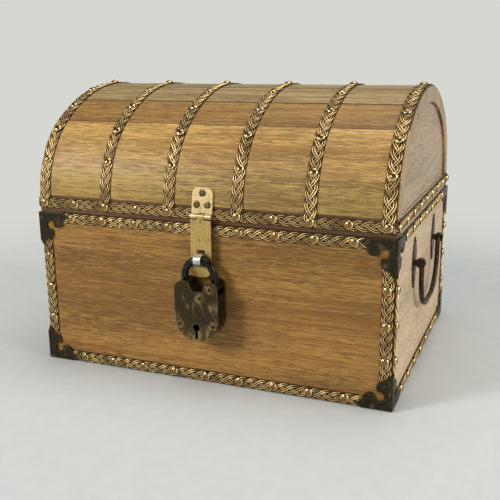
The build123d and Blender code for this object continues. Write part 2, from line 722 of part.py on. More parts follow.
def back_hinges():
    """Two hinges on the back: lower leaves, upper leaves, pins and screws."""
    outer, inner = knuckle_spans(hinge_width)
    seat = knuckle_radius + knuckle_gap
    lower = leaf(hinge_width, hinge_leaf_height, hinge_leaf_thickness, seat, outer, hinge_pin_radius)
    upper = leaf(hinge_width, hinge_leaf_height, hinge_leaf_thickness, seat, inner, hinge_pin_radius + fit)
    lower = mirror(lower, about=Plane.XZ)
    upper = mirror(mirror(upper, about=Plane.XZ), about=Plane.XY)
    lowers, uppers, pins = [], [], []
    for x in (-hinge_place, hinge_place):
        lowers.append(Pos(x, hinge_pin_y, hinge_pin_z) * lower)
        uppers.append(Pos(x, hinge_pin_y, hinge_pin_z) * upper)
        pins.append(rod_x(hinge_pin_radius, x - hinge_width / 2, x + hinge_width / 2, hinge_pin_y, hinge_pin_z))
    groups = []
    for leaves, places in ((lowers, body_hinge_screw_places()), (uppers, lid_hinge_screw_places())):
        cutters = [countersink(place, hinge_leaf_thickness) for place in places]
        groups.append(Compound([piece - cutters for piece in leaves]))
        groups.append(Compound([screw(place, hinge_leaf_thickness) for place in places]))
    return {"body_hinge_leaves": groups[0], "body_hinge_screws": groups[1], "lid_hinge_leaves": groups[2],
            "lid_hinge_screws": groups[3], "hinge_pins": Compound(pins)}


def main():
    """Build every sub-part and write each to its own file."""
    os.makedirs("parts", exist_ok=True)
    makers = (body_boards, body_strips, corner_brackets, body_tacks, staple, handles, back_hinges,
              lid_wood, lid_bands, rim_strips, lid_tacks, hasp, padlock)
    for make in makers:
        for name, part in make().items():
            export_step(part, os.path.join("parts", name + ".step"))


main()
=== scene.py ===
import math
from contextlib import contextmanager

import bpy
from mathutils import Matrix, Vector


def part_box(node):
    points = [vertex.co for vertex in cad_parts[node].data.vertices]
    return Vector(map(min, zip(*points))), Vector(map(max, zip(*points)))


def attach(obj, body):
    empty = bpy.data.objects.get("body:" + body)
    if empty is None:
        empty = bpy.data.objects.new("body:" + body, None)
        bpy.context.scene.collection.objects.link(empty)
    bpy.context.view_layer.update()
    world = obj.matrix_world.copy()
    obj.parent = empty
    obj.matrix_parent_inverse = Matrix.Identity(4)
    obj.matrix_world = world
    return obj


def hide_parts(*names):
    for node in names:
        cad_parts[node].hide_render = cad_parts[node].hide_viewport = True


bl_info = {
    "name": "Braided Chest",
    "version": (1, 0, 0),
    "blender": (4, 5, 0),
    "location": "3D View > Sidebar > Chest",
    "description": "Dresses a domed wooden chest with braided metal bands, a hasp and a padlock",
    "category": "Add Mesh",
}

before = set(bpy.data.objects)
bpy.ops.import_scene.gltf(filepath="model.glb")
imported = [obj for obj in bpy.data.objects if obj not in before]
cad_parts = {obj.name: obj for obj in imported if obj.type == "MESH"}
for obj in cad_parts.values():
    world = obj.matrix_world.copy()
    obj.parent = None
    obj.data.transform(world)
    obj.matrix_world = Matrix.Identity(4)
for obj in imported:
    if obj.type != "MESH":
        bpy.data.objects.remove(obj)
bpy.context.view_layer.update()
MM = 0.001
UP = Vector((0, 0, 1))
# Edges where faces meet at more degrees than this are rounded
SHARP_ANGLE = 30


# Colours are written as on a screen and turned into the linear values that shaders use


def linear(red, green, blue):
    """A screen colour, 0 to 255, as a linear colour with alpha."""
    values = []
    for channel in (red, green, blue):
        share = channel / 255
        values.append(share / 12.92 if share <= 0.04045 else ((share + 0.055) / 1.055) ** 2.4)
    return (*values, 1.0)


def colour_property(name, description, red, green, blue):
    """A colour that the user may change."""
    return bpy.props.FloatVectorProperty(
        name=name, description=description, subtype="COLOR", size=4, min=0, max=1,
        default=linear(red, green, blue))


def length_property(name, description, millimetres):
    """A length that the user may change, kept in metres."""
    return bpy.props.FloatProperty(
        name=name, description=description, unit="LENGTH", min=0, precision=5, default=millimetres * MM)


class ChestSizes(bpy.types.PropertyGroup):
    """Sizes of the details that the frame leaves to the dressing."""
    board_edge: length_property("Board edge", "Rounding of the edges of boards and staves", 0.8)
    plate_edge: length_property("Plate edge", "Rounding of the edges of metal plates", 0.35)
    plait_length: length_property("Plait length", "Length in which a strand of the braid repeats", 34)
    wire_radius: length_property("Wire radius", "Radius of a wire of the braid", 0.52)
    wire_spread: length_property("Wire spread", "Distance of a wire from the middle of its strand", 1.02)
    strand_lift: length_property("Strand lift", "How far a strand rises and dips where it crosses", 0.44)
    sheet: length_property("Backing sheet", "Thickness of the sheet behind the braid", 0.35)
    sheet_border: length_property("Sheet border", "Border of the sheet beside the braid", 0.4)
    band_inset: length_property("Band inset", "How much wood a band bares on each side", 1.1)
    corner_width: length_property("Corner width", "Width of a corner's upright strip", 12.6)
    strip_stop: length_property("Strip stop", "Where the strips end under the corner brackets", 27)
    tack_radius: length_property("Tack radius", "Radius of a tack head", 4.9)
    tack_height: length_property("Tack height", "Height of a tack head", 2.9)
    screw_radius: length_property("Screw radius", "Radius of a screw head", 3.8)


class ChestColours(bpy.types.PropertyGroup):
    """Colours of the finishes."""
    front_wood: colour_property("Front wood", "Golden brown boards of the body", 158, 115, 53)
    end_wood: colour_property("End wood", "Pinkish tan boards of the body's two ends", 208, 181, 146)
    lid_end_wood: colour_property("Lid end wood", "Lid's end boards and staves' cut ends", 177, 154, 125)
    olive_wood: colour_property("Olive wood", "Greyish olive staves", 168, 135, 70)
    gold_wood: colour_property("Golden wood", "Golden staves", 184, 144, 77)
    brown_wood: colour_property("Brown wood", "Reddish brown staves", 141, 106, 51)
    crown_wood: colour_property("Crown wood", "Olive brown staves of the crown", 152, 128, 84)
    inner_wood: colour_property("Inner wood", "Rails of the lid and the bottom board", 102, 74, 42)
    # The braid's gold is worn metal and also painted highlight on its crests, and painted reflection on the
    # tacks' flanks
    braid_gold: colour_property("Braid gold", "Ridges of the braid and flanks of the tacks", 252, 217, 151)
    # The braid's dark is patina and also painted shade in its hollows and on the sheet between the wires
    braid_dark: colour_property("Braid dark", "Hollows of the braid", 84, 61, 37)
    tack_bronze: colour_property("Tack bronze", "Tops of the tack heads", 134, 94, 58)
    # Painted dark reflection round the foot of a tack
    tack_foot_painted_reflection: colour_property("Tack foot", "Dirt round the foot of a tack", 44, 31, 20)
    handle_brown: colour_property("Handle iron", "Browned iron of the handles and their plates", 62, 49, 37)
    iron_black: colour_property("Black iron", "Blackened iron of the back hinges", 32, 28, 25)
    lock_black: colour_property("Lock black", "Black of the shackle and the lock's band", 17, 16, 15)
    iron_worn: colour_property("Worn iron", "Wear of brackets, handles and shackle", 116, 96, 68)
    brass_pale: colour_property("Pale brass", "Leaf of the hasp, wear of strap and screws", 216, 190, 138)
    brass_olive: colour_property("Olive brass", "Wear of the padlock and the back hinges", 142, 121, 76)
    strap_brass: colour_property("Strap brass", "Strap of the hasp", 206, 174, 106)
    bronze_dark: colour_property("Dark bronze", "Faces of the padlock and the brackets", 50, 42, 28)
    screw_brown: colour_property("Screw bronze", "Heads of screws and rivets", 62, 48, 33)
    steel: colour_property("Steel", "Staple", 190, 188, 180)
    floor: colour_property("Floor", "Plain pale floor and backdrop", 214, 215, 209)


# Selecting, editing and finishing pieces


def only(piece):
    """Select one piece and make it active."""
    bpy.ops.object.select_all(action="DESELECT")
    piece.select_set(True)
    bpy.context.view_layer.objects.active = piece


@contextmanager
def editing(piece, action="SELECT"):
    """Edit mode on one piece, with all of its mesh selected or none."""
    only(piece)
    bpy.ops.object.mode_set(mode="EDIT")
    bpy.ops.mesh.select_all(action=action)
    yield piece
    bpy.ops.object.mode_set(mode="OBJECT")


def modify(piece, kind, **settings):
    """Add a modifier with these settings and apply it."""
    only(piece)
    modifier = piece.modifiers.new(kind.title(), kind)
    for key, value in settings.items():
        setattr(modifier, key, value)
    bpy.ops.object.modifier_apply(modifier=modifier.name)


def round_edges(piece, width, segments=2, material=-1):
    """Round the sharp edges and shade the rest smooth."""
    modify(piece, "BEVEL", width=width, segments=segments, limit_method="ANGLE",
           angle_limit=math.radians(SHARP_ANGLE), material=material)
    smooth(piece)
    modify(piece, "WEIGHTED_NORMAL", keep_sharp=True, weight=50)


def smooth(piece, angle=35):
    """Shade smooth except across sharp edges."""
    only(piece)
    bpy.ops.object.shade_smooth_by_angle(angle=math.radians(angle))


def settle(piece, matrix=None):
    """Move the piece's place into its mesh."""
    if matrix is not None:
        piece.matrix_world = matrix
    only(piece)
    bpy.ops.object.transform_apply(location=True, rotation=True, scale=True)


def merged(piece, dissolve=0.3):
    """Merge a copied shell's doubles and dissolve the edges inside its flat faces."""
    with editing(piece):
        bpy.ops.mesh.remove_doubles(threshold=0.002 * MM)
        if dissolve:
            bpy.ops.mesh.dissolve_limited(angle_limit=math.radians(dissolve))


def node_copy(node_name, name):
    """A loose copy of one node's shell."""
    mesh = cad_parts[node_name].data.copy()
    mesh.materials.clear()
    piece = bpy.data.objects.new(name, mesh)
    bpy.context.scene.collection.objects.link(piece)
    if mesh.has_custom_normals:
        only(piece)
        bpy.ops.mesh.customdata_custom_splitnormals_clear()
    return piece


def duplicate(piece, name):
    """A copy of a piece with its own mesh."""
    only(piece)
    bpy.ops.object.duplicate()
    copy = bpy.context.object
    copy.name = name
    return copy


def joined(pieces, name):
    """Several pieces as one."""
    bpy.ops.object.select_all(action="DESELECT")
    for piece in pieces:
        piece.select_set(True)
    bpy.context.view_layer.objects.active = pieces[0]
    bpy.ops.object.join()
    pieces[0].name = name
    return pieces[0]


def remove(piece):
    """Delete a pattern piece that has been copied."""
    only(piece)
    bpy.ops.object.delete()


def hand_over(piece, body, slot, material, *nodes):
    """Give the finished piece its material and its body, and hide the nodes that it stands for; the slot is
    not used.
    """
    piece.data.materials.clear()
    piece.data.materials.append(material)
    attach(piece, body)
    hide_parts(*nodes)


def fit(slot, finish, edge=None, **bodies):
    """Round the edges of some nodes' shells, by a width in millimetres, and hand them over."""
    width = edge * MM if edge else bpy.context.scene.chest_sizes.plate_edge
    for node_name, body in bodies.items():
        piece = node_copy(node_name, node_name + "_rounded")
        merged(piece)
        round_edges(piece, width)
        hand_over(piece, body, slot, finish, node_name)


def islands(node_name):
    """The merged shells of a node, each as its faces with their areas, normals and corners."""
    piece = node_copy(node_name, "islands")
    merged(piece, dissolve=0)
    mesh = piece.data
    group = list(range(len(mesh.vertices)))

    def root(index):
        while group[index] != index:
            group[index] = group[group[index]]
            index = group[index]
        return index

    for edge in mesh.edges:
        first, second = (root(v) for v in edge.vertices)
        group[first] = second
    shells = {}
    for polygon in mesh.polygons:
        corners = [mesh.vertices[v].co.copy() for v in polygon.vertices]
        face = (polygon.area, polygon.normal.copy(), corners)
        shells.setdefault(root(polygon.vertices[0]), []).append(face)
    remove(piece)
    return list(shells.values())


def flat_faces(node_name):
    """The middle and the normal of the largest flat face of each shell in a node."""
    places = []
    for faces in islands(node_name):
        normal, corners = max(faces, key=lambda face: face[0])[1:]
        level = corners[0].dot(normal)
        points = {tuple(p) for face in faces for p in face[2] if abs(p.dot(normal) - level) < 0.02 * MM}
        middle = sum((Vector(p) for p in points), Vector()) / len(points)
        places.append((middle, normal))
    return places


def placed(point, normal, along=None):
    """A matrix at a point, whose Z axis lies along the normal and whose X axis may be given."""
    z_axis = normal.normalized()
    if along is None:
        hint = UP if abs(z_axis.z) < 0.9 else Vector((1, 0, 0))
        along = hint.cross(z_axis)
    x_axis = along.normalized()
    rotation = Matrix((x_axis, z_axis.cross(x_axis), z_axis)).transposed().to_4x4()
    return Matrix.Translation(point) @ rotation


# Shader building

# Numbers of the Mix node's colour sockets
MIX_FIRST, MIX_SECOND, MIX_RESULT = 6, 7, 2
# How much of the wood's tone comes from its broad bands, its streaks and its fibres
BROAD_SHARE, STREAK_SHARE, FIBRE_SHARE = 0.38, 0.32, 0.70
# How far the figure's colours lie from a board's own, as shares of its red, green and blue
FIGURE_SHARES = {"Light": (0.46, 0.50, 0.58), "Dark": (-0.44, -0.47, -0.50),
                 "Red": (-0.24, -0.42, -0.56), "Grey": (0.26, 0.36, 0.50)}
# Strength of the figure on the end boards
END_FIGURE = 0.55
PORE_STRENGTH = 0.5
# Radians of growth rings over the range of their noise
RING_TURNS = 85
HEART_REDNESS = 1.3
# How far a stave's cut end takes the lid ends' colour, and the brightness of a seam
CUT_SHARE, SEAM_BRIGHTNESS = 0.75, 0.12
# How far from an edge metal wears
WEAR_REACH = 1.5 * MM


def node(tree, kind, inputs=None, **settings):
    """A shader node with its settings, and its inputs set to values or linked to sockets."""
    made = tree.nodes.new(kind)
    for key, value in settings.items():
        setattr(made, key, value)
    for key, value in (inputs or {}).items():
        if isinstance(value, bpy.types.NodeSocket):
            tree.links.new(value, made.inputs[key])
        else:
            made.inputs[key].default_value = value
    return made


def noise(tree, vector, scale, detail=3.0, distortion=0.0, roughness=0.5):
    """The value of a noise texture."""
    inputs = {"Vector": vector, "Scale": scale, "Detail": detail, "Distortion": distortion,
              "Roughness": roughness}
    return node(tree, "ShaderNodeTexNoise", inputs).outputs["Fac"]


def ramp(tree, value, low, high, to_low=0.0, to_high=1.0):
    """A value smoothly stretched between two stops."""
    inputs = {"Value": value, "From Min": low, "From Max": high, "To Min": to_low, "To Max": to_high}
    return node(tree, "ShaderNodeMapRange", inputs, interpolation_type="SMOOTHSTEP").outputs["Result"]


def maths(tree, operation, first, second=0.0, third=0.0):
    """One sum."""
    return node(tree, "ShaderNodeMath", {0: first, 1: second, 2: third}, operation=operation).outputs[0]


def scaled(tree, value, share, base=0.0):
    """A value times a share, on top of a base."""
    return maths(tree, "MULTIPLY_ADD", value, share, base)


def measured(tree, operation, first, second=(0, 0, 0)):
    """A number found from one vector or two."""
    return node(tree, "ShaderNodeVectorMath", {0: first, 1: second}, operation=operation).outputs["Value"]


def mixed(tree, factor, first, second, blend="MIX"):
    """Two colours mixed."""
    inputs = {"Factor": factor, MIX_FIRST: first, MIX_SECOND: second}
    return node(tree, "ShaderNodeMix", inputs, data_type="RGBA", blend_type=blend).outputs[MIX_RESULT]


def stretched(tree, vector, scale, offset=(0, 0, 0)):
    """Coordinates scaled along each axis and shifted."""
    return node(tree, "ShaderNodeMapping", {"Vector": vector, "Scale": scale, "Location": offset}).outputs[0]


def attribute(tree, label):
    """The value of a piece's own attribute."""
    return node(tree, "ShaderNodeAttribute", attribute_name=label).outputs["Fac"]


def ragged(tree, value, fine, share):
    """A value made uneven by some share of a fine noise."""
    return scaled(tree, maths(tree, "SUBTRACT", fine, 0.5), share, value)


def darkened(colour, brightness):
    """A colour with only some of its brightness."""
    return (*(channel * brightness for channel in colour[:3]), 1.0)


def new_group(name, **kinds):
    """An empty shader group with named inputs, which gives a colour, a roughness and a height."""
    group = bpy.data.node_groups.new(name, "ShaderNodeTree")
    for label, kind in kinds.items():
        group.interface.new_socket(label, in_out="INPUT", socket_type="NodeSocket" + kind)
    for label, kind in (("Color", "Color"), ("Roughness", "Float"), ("Height", "Float")):
        group.interface.new_socket(label, in_out="OUTPUT", socket_type="NodeSocket" + kind)
    return group, group.nodes.new("NodeGroupInput").outputs


def end_group(group, colour, roughness, height):
    """Link what a group gives."""
    node(group, "NodeGroupOutput", {"Color": colour, "Roughness": roughness, "Height": height})


def group_node(tree, name, inputs):
    """What a placed group gives, with its inputs set or linked."""
    return node(tree, "ShaderNodeGroup", inputs, node_tree=bpy.data.node_groups[name]).outputs


def wood_group():
    """Streaky solid wood, in metres along the grain: broad tones, growth lines, fibres and pores."""
    group, given = new_group("WoodFigure", Vector="Vector", Light="Color", Dark="Color", Red="Color",
                             Grey="Color", Redness="Float", Greyness="Float", Lines="Float")

    def drawn_out(scale, *settings, offset=(0, 0, 0)):
        """Noise drawn out along the grain."""
        return noise(group, stretched(group, given["Vector"], scale, offset), 1.0, *settings)

    broad = drawn_out((3, 24, 24), 3, 0.5)
    streaks = drawn_out((14, 420, 420), 4, 0.3, 0.6)
    fibre = drawn_out((70, 950, 950), 4, 0.2, 0.7)
    pores = ramp(group, drawn_out((75, 1250, 1250), 2), 0.60, 0.70)
    tone = scaled(group, streaks, STREAK_SHARE, scaled(group, broad, BROAD_SHARE))
    tone = ramp(group, scaled(group, fibre, FIBRE_SHARE, tone), 0.59, 0.81)
    colour = mixed(group, tone, given["Dark"], given["Light"])
    patch = drawn_out((2.4, 15, 15), 3, 0.5, offset=(7, 3, 1))
    grey = ramp(group, scaled(group, given["Greyness"], 0.2, patch), 0.52, 0.72, 0, 0.8)
    colour = mixed(group, grey, colour, mixed(group, tone, given["Dark"], given["Grey"]))
    heart = drawn_out((1.7, 150, 150), 5, 0.5, 0.6, offset=(2, 9, 4))
    red = ramp(group, scaled(group, given["Redness"], 0.16, heart), 0.56, 0.74, 0, 0.8)
    colour = mixed(group, red, colour, given["Red"])
    contours = drawn_out((1.9, 12, 12), 1, 0.2, 0.4, offset=(3, 1, 2))
    rings = ramp(group, maths(group, "SINE", scaled(group, contours, RING_TURNS)), 0.2, 1.0)
    colour = mixed(group, scaled(group, rings, given["Lines"]), colour, given["Red"])
    dark = mixed(group, 1.0, given["Dark"], (0.40, 0.36, 0.32, 1), "MULTIPLY")
    colour = mixed(group, scaled(group, pores, PORE_STRENGTH), colour, dark)
    dents = scaled(group, pores, 0.5)
    height = maths(group, "SUBTRACT", scaled(group, fibre, 0.6), dents)
    end_group(group, colour, ramp(group, fibre, 0.3, 0.7, 0.64, 0.5), height)


def wear_group():
    """Old metal: a patchy ground, with exposed edges and rubbed places of another colour."""
    group, given = new_group("WornMetal", Vector="Vector", Ground="Color", Worn="Color", Grime="Color",
                             Edges="Float", Rubbed="Float", Scale="Float")
    vector, scale = given["Vector"], given["Scale"]
    fine = noise(group, vector, scale, 5, 0.2, 0.65)
    coarse = noise(group, vector, scaled(group, scale, 0.35), 4, 0.8, 0.6)
    eased = node(group, "ShaderNodeBevel", {"Radius": WEAR_REACH}, samples=4).outputs[0]
    plain = node(group, "ShaderNodeNewGeometry").outputs["Normal"]
    bent = maths(group, "SUBTRACT", 1.0, measured(group, "DOT_PRODUCT", eased, plain))
    edge = scaled(group, ramp(group, ragged(group, bent, fine, 0.3), 0.04, 0.15), given["Edges"])
    rubbed = ramp(group, scaled(group, given["Rubbed"], 0.3, coarse), 0.60, 0.78)
    rubbed = scaled(group, rubbed, ramp(group, fine, 0.3, 0.55, 0.45))
    mask = maths(group, "MAXIMUM", edge, rubbed)
    colour = mixed(group, ramp(group, fine, 0.52, 0.7, 0, 0.75), given["Ground"], given["Grime"])
    colour = mixed(group, mask, colour, given["Worn"])
    roughness = scaled(group, fine, 0.3, ramp(group, mask, 0, 1, 0.3, 0.14))
    end_group(group, colour, roughness, fine)


def shader(name, metallic, coat=0.0, specular=0.5, coat_roughness=0.25):
    """A new material with its tree, its Principled shader and its own Object coordinates."""
    material = bpy.data.materials.new(name)
    material.use_nodes = True
    tree = material.node_tree
    principled = tree.nodes["Principled BSDF"]
    principled.inputs["Metallic"].default_value = metallic
    principled.inputs["Coat Weight"].default_value = coat
    principled.inputs["Coat Roughness"].default_value = coat_roughness
    principled.inputs["Specular IOR Level"].default_value = specular
    place = tree.nodes.new("ShaderNodeTexCoord").outputs["Object"]
    return material, tree, principled, place


def surface(tree, principled, colour, roughness, height, distance, strength=0.6):
    """Link a colour, a roughness and a bumpy height to the shader."""
    bump = node(tree, "ShaderNodeBump", {"Height": height, "Distance": distance, "Strength": strength})
    for label, value in (("Base Color", colour), ("Roughness", roughness), ("Normal", bump.outputs[0])):
        tree.links.new(value, principled.inputs[label])


def wood(name, tone, offset, redness=0.3, greyness=0.3, lines=0.25, heart=None, end=False):
    """The finish of one board, with its own place in the timber and perhaps a red heart at a height."""
    colours = bpy.context.scene.chest_colours
    base = getattr(colours, tone)[:3]
    material, tree, principled, place = shader(name, 0.0, coat=0.06, specular=0.4)
    axes = node(tree, "ShaderNodeSeparateXYZ", {0: place}).outputs
    # The grain runs along X, or along Y on an end board
    order = (1, 0, 2) if end else (0, 1, 2)
    vector = node(tree, "ShaderNodeCombineXYZ", {i: axes[order[i]] for i in range(3)}).outputs[0]
    if heart:
        away = maths(tree, "ABSOLUTE", maths(tree, "SUBTRACT", axes[2], heart[0]))
        redness = ramp(tree, away, heart[1], 0.0, redness, HEART_REDNESS)
    figure = END_FIGURE if end else 1.0
    inputs = {"Vector": stretched(tree, vector, (1, 1, 1), offset), "Redness": redness,
              "Greyness": greyness, "Lines": lines}
    for label, shares in FIGURE_SHARES.items():
        inputs[label] = (*(min(1.0, c * (1 + k * figure)) for c, k in zip(base, shares)), 1.0)
    found = group_node(tree, "WoodFigure", inputs)
    cut = scaled(tree, attribute(tree, "cut"), CUT_SHARE)
    colour = mixed(tree, cut, found["Color"], colours.lid_end_wood)
    # The rounded edge faces, along the seams, are darkened to a small share of the board's colour
    colour = mixed(tree, attribute(tree, "seam"), colour, darkened(base, SEAM_BRIGHTNESS))
    surface(tree, principled, colour, found["Roughness"], found["Height"], 0.25 * MM)
    return material


def worn(name, ground, wear, metallic=0.9, edges=0.8, rubbed=0.2, scale=200, bump=0.15, coat=0.0, spots=(),
         polish=1.0, stretch=(1, 1, 1), specular=0.5, haze=0.0):
    """The finish of old metal, rubbed more around some spots of its XZ face."""
    material, tree, principled, place = shader(name, metallic, coat, specular, coat_roughness=0.06)
    amount = rubbed
    for x, z, near, far in spots:
        away = measured(tree, "DISTANCE", stretched(tree, place, (1, 0, 1)), (x, 0, z))
        amount = maths(tree, "MAXIMUM", amount, ramp(tree, away, far, near, 0.0, 0.6))
    found = group_node(tree, "WornMetal", {
        "Vector": stretched(tree, place, stretch), "Ground": ground, "Worn": wear,
        "Grime": darkened(ground, 0.35), "Edges": edges, "Rubbed": amount, "Scale": scale})
    colour = found["Color"]
    if haze:
        colour = mixed(tree, scaled(tree, amount, haze), colour, wear)
    roughness = scaled(tree, found["Roughness"], polish)
    surface(tree, principled, colour, roughness, found["Height"], bump * MM)
    return material


def brushed(name, ground, wear, scale):
    """The finish of brushed brass, whose streaks are noise with a scale along each axis."""
    material, tree, principled, place = shader(name, 0.95)
    streaks = noise(tree, stretched(tree, place, scale), 1.0, 3)
    grime = darkened(ground, 0.3)
    found = group_node(tree, "WornMetal", {
        "Vector": place, "Ground": ground, "Worn": wear, "Grime": grime,
        "Edges": 0.8, "Rubbed": 0.0, "Scale": 160})
    colour = mixed(tree, ramp(tree, streaks, 0.42, 0.78, 0, 0.6), found["Color"], grime)
    height = scaled(tree, streaks, 0.6, found["Height"])
    surface(tree, principled, colour, found["Roughness"], height, 0.1 * MM, 0.5)
    return material


def braid_finish():
    """Antique bronze braid: gold on its ridges, as worn metal and as painted highlight, and dark brown in
    its hollows, as patina and as painted shade.
    """
    colours = bpy.context.scene.chest_colours
    material, tree, principled, place = shader("braided_bronze", 0.9)
    fine = noise(tree, place, 420, 4, 0.2, 0.6)
    # Painted light: the crests get gold as painted highlight, the hollows and sheet get dark as painted
    # shade
    relief = ragged(tree, attribute(tree, "relief"), fine, 0.6)
    rubbed = ramp(tree, noise(tree, place, 38, 3, 0.5, 0.6), 0.38, 0.58, 0.45, 1.0)
    mask = scaled(tree, ramp(tree, relief, 0.20, 0.54), rubbed)
    colour = mixed(tree, mask, colours.braid_dark, colours.braid_gold)
    surface(tree, principled, colour, ramp(tree, mask, 0, 1, 0.5, 0.43), fine, 0.12 * MM)
    return material


def tack_finish():
    """Bronze tack heads: a painted dark reflection round the foot, a painted golden reflection on the flank
    and a browner top.
    """
    colours = bpy.context.scene.chest_colours
    material, tree, principled, place = shader("tack_bronze", 1.0)
    fine = noise(tree, place, 350, 4, 0.2, 0.6)
    level = ragged(tree, attribute(tree, "level"), fine, 0.4)
    # Painted reflections by height on the head: dark round the foot, gold on the flank
    colour = mixed(tree, ramp(tree, level, 0.25, 0.45), colours.tack_foot_painted_reflection, colours.braid_gold)
    colour = mixed(tree, ramp(tree, level, 0.5, 0.8, 0, 0.9), colour, colours.tack_bronze)
    surface(tree, principled, colour, ramp(tree, fine, 0.3, 0.7, 0.14, 0.3), fine, 0.08 * MM, 0.5)
    return material


# The lid's outline, read from the frame


HALF_DEPTH = -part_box("front_panel")[0].y
HALF_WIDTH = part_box("front_panel")[1].x
# How far the metal strips stand off the wood
STRIP_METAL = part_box("top_strip_right")[1].x - HALF_WIDTH
LID_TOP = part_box("lid_stave_5")[1].z
# Each side rises straight to the springing, then turns in and passes into the flatter crown
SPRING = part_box("lid_rail_front")[0].z + 14.0 * MM
RISE = LID_TOP - SPRING
SIDE_RADIUS = 100 * MM
CROWN_RADIUS = (HALF_DEPTH**2 + RISE**2 - 2 * HALF_DEPTH * SIDE_RADIUS) / (2 * (RISE - SIDE_RADIUS))
CROWN_TURN = math.atan2(HALF_DEPTH - SIDE_RADIUS, CROWN_RADIUS - RISE)
SIDE_ARC = SIDE_RADIUS * (math.pi / 2 - CROWN_TURN)
ARCH_LENGTH = 2 * (SIDE_ARC + CROWN_RADIUS * CROWN_TURN)


def arch_point(along, lift):
    """A point (y, z) on the lid's outline, at a distance from the front springing and lifted off it."""
    if along > ARCH_LENGTH / 2:
        y, z = arch_point(ARCH_LENGTH - along, lift)
        return -y, z
    if along <= 0:
        return -HALF_DEPTH - lift, SPRING + along
    if along <= SIDE_ARC:
        angle = along / SIDE_RADIUS
        centre_y, centre_z, radius = SIDE_RADIUS - HALF_DEPTH, SPRING, SIDE_RADIUS
    else:
        angle = math.pi / 2 - CROWN_TURN + (along - SIDE_ARC) / CROWN_RADIUS
        centre_y, centre_z, radius = 0, LID_TOP - CROWN_RADIUS, CROWN_RADIUS
    return centre_y - (radius + lift) * math.cos(angle), centre_z + (radius + lift) * math.sin(angle)


# The braid

BRAID_WIDTH = 12.0 * MM
# Points of a wire in one repeat of the plait
PLAIT_STEPS = 16
# How far the wires sink into the sheet
WIRE_SINK = 0.06 * MM
# Lengths of sheet in one repeat
SHEET_LENGTHS = 6
# How far beyond the rim strip's edge a band leaves it, lands on the wood and starts over the dome
BAND_LEAVES, BAND_LANDS, BAND_STARTS = 0.4 * MM, 2.4 * MM, 5 * MM
BAND_STEPS = 72


def row_curve(name, points, dimensions="3D"):
    """A curve object of straight steps through a row of points."""
    curve = bpy.data.curves.new(name, "CURVE")
    curve.dimensions = dimensions
    spline = curve.splines.new("POLY")
    spline.points.add(len(points) - 1)
    for point, place in zip(spline.points, points):
        point.co = (*place, 1)
    piece = bpy.data.objects.new(name, curve)
    bpy.context.scene.collection.objects.link(piece)
    return piece


def wire(points, radius):
    """A round wire along a row of points, as a mesh with open ends."""
    piece = row_curve("wire", points)
    piece.data.bevel_depth = radius
    piece.data.bevel_resolution = 1
    only(piece)
    bpy.ops.object.convert(target="MESH")
    return bpy.context.object


def braid_unit():
    """One repeat of the plait: three strands of two wires, on the backing sheet."""
    sizes = bpy.context.scene.chest_sizes
    length = sizes.plait_length
    swing = BRAID_WIDTH / 2 - sizes.sheet_border - sizes.wire_radius - sizes.wire_spread
    middle = sizes.sheet + sizes.wire_radius - WIRE_SINK
    wires = []
    for strand in range(3):
        for side in (-1, 1):
            points = []
            for step in range(PLAIT_STEPS + 1):
                turn = math.tau * (step / PLAIT_STEPS + strand / 3)
                slope = swing * math.tau / length * math.cos(turn)
                aside = Vector((-slope, 1)).normalized() * sizes.wire_spread * side
                along, across = length * step / PLAIT_STEPS + aside.x, swing * math.sin(turn) + aside.y
                points.append((along, across, middle + sizes.strand_lift * math.sin(2 * turn)))
            wires.append(wire(points, sizes.wire_radius))
    bpy.ops.mesh.primitive_cube_add(size=1, location=(length / 2, 0, sizes.sheet / 2))
    backing = bpy.context.object
    backing.dimensions = (length, BRAID_WIDTH, sizes.sheet)
    settle(backing)
    cut_sheet(backing, length)
    unit = joined([backing] + wires, "braid_unit")
    top = middle + sizes.wire_radius + sizes.strand_lift
    # This attribute paints light: it is low on the sheet and in the hollows, as painted shade, and highest
    # on the crests that face outwards, as painted highlight
    relief = unit.data.attributes.new("relief", "FLOAT", "POINT")
    for vertex, value in zip(unit.data.vertices, relief.data):
        level = max(0.0, (vertex.co.z - sizes.sheet) / (top - sizes.sheet))
        value.value = level * (0.35 + 0.65 * max(0.0, vertex.normal.z))
    return unit


def cut_sheet(backing, length):
    """Open the sheet's two ends and cut it into lengths that can follow a curve."""
    with editing(backing, "DESELECT"):
        bpy.ops.mesh.select_mode(type="FACE")
        bpy.ops.object.mode_set(mode="OBJECT")
        for polygon in backing.data.polygons:
            polygon.select = abs(polygon.normal.x) > 0.5
        bpy.ops.object.mode_set(mode="EDIT")
        bpy.ops.mesh.delete(type="ONLY_FACE")
        bpy.ops.mesh.select_mode(type="VERT")
        for cut in range(1, SHEET_LENGTHS):
            bpy.ops.mesh.select_all(action="SELECT")
            bpy.ops.mesh.bisect(plane_co=(length * cut / SHEET_LENGTHS, 0, 0), plane_no=(1, 0, 0))


def braid_strip(unit, name, length, width):
    """A flat strip of braid along X, with its back at Z zero and its middle at the origin."""
    strip = duplicate(unit, name)
    plait = bpy.context.scene.chest_sizes.plait_length
    count = max(1, round(length / plait))
    strip.scale = (length / count / plait, width / BRAID_WIDTH, 1)
    settle(strip)
    modify(strip, "ARRAY", count=count, use_relative_offset=False, use_constant_offset=True,
           constant_offset_displace=(length / count, 0, 0), use_merge_vertices=True,
           merge_threshold=0.05 * MM)
    with editing(strip, "DESELECT"):
        bpy.ops.mesh.select_non_manifold(extend=False)
        bpy.ops.mesh.fill_holes(sides=8)
    settle(strip, Matrix.Translation((-length / 2, 0, 0)))
    smooth(strip, 60)
    return strip


def laid(strip, point, along, normal):
    """Lay a flat strip with its middle at a point, its length along one way and its face another."""
    settle(strip, placed(Vector(point), Vector(normal), Vector(along)))
    return strip


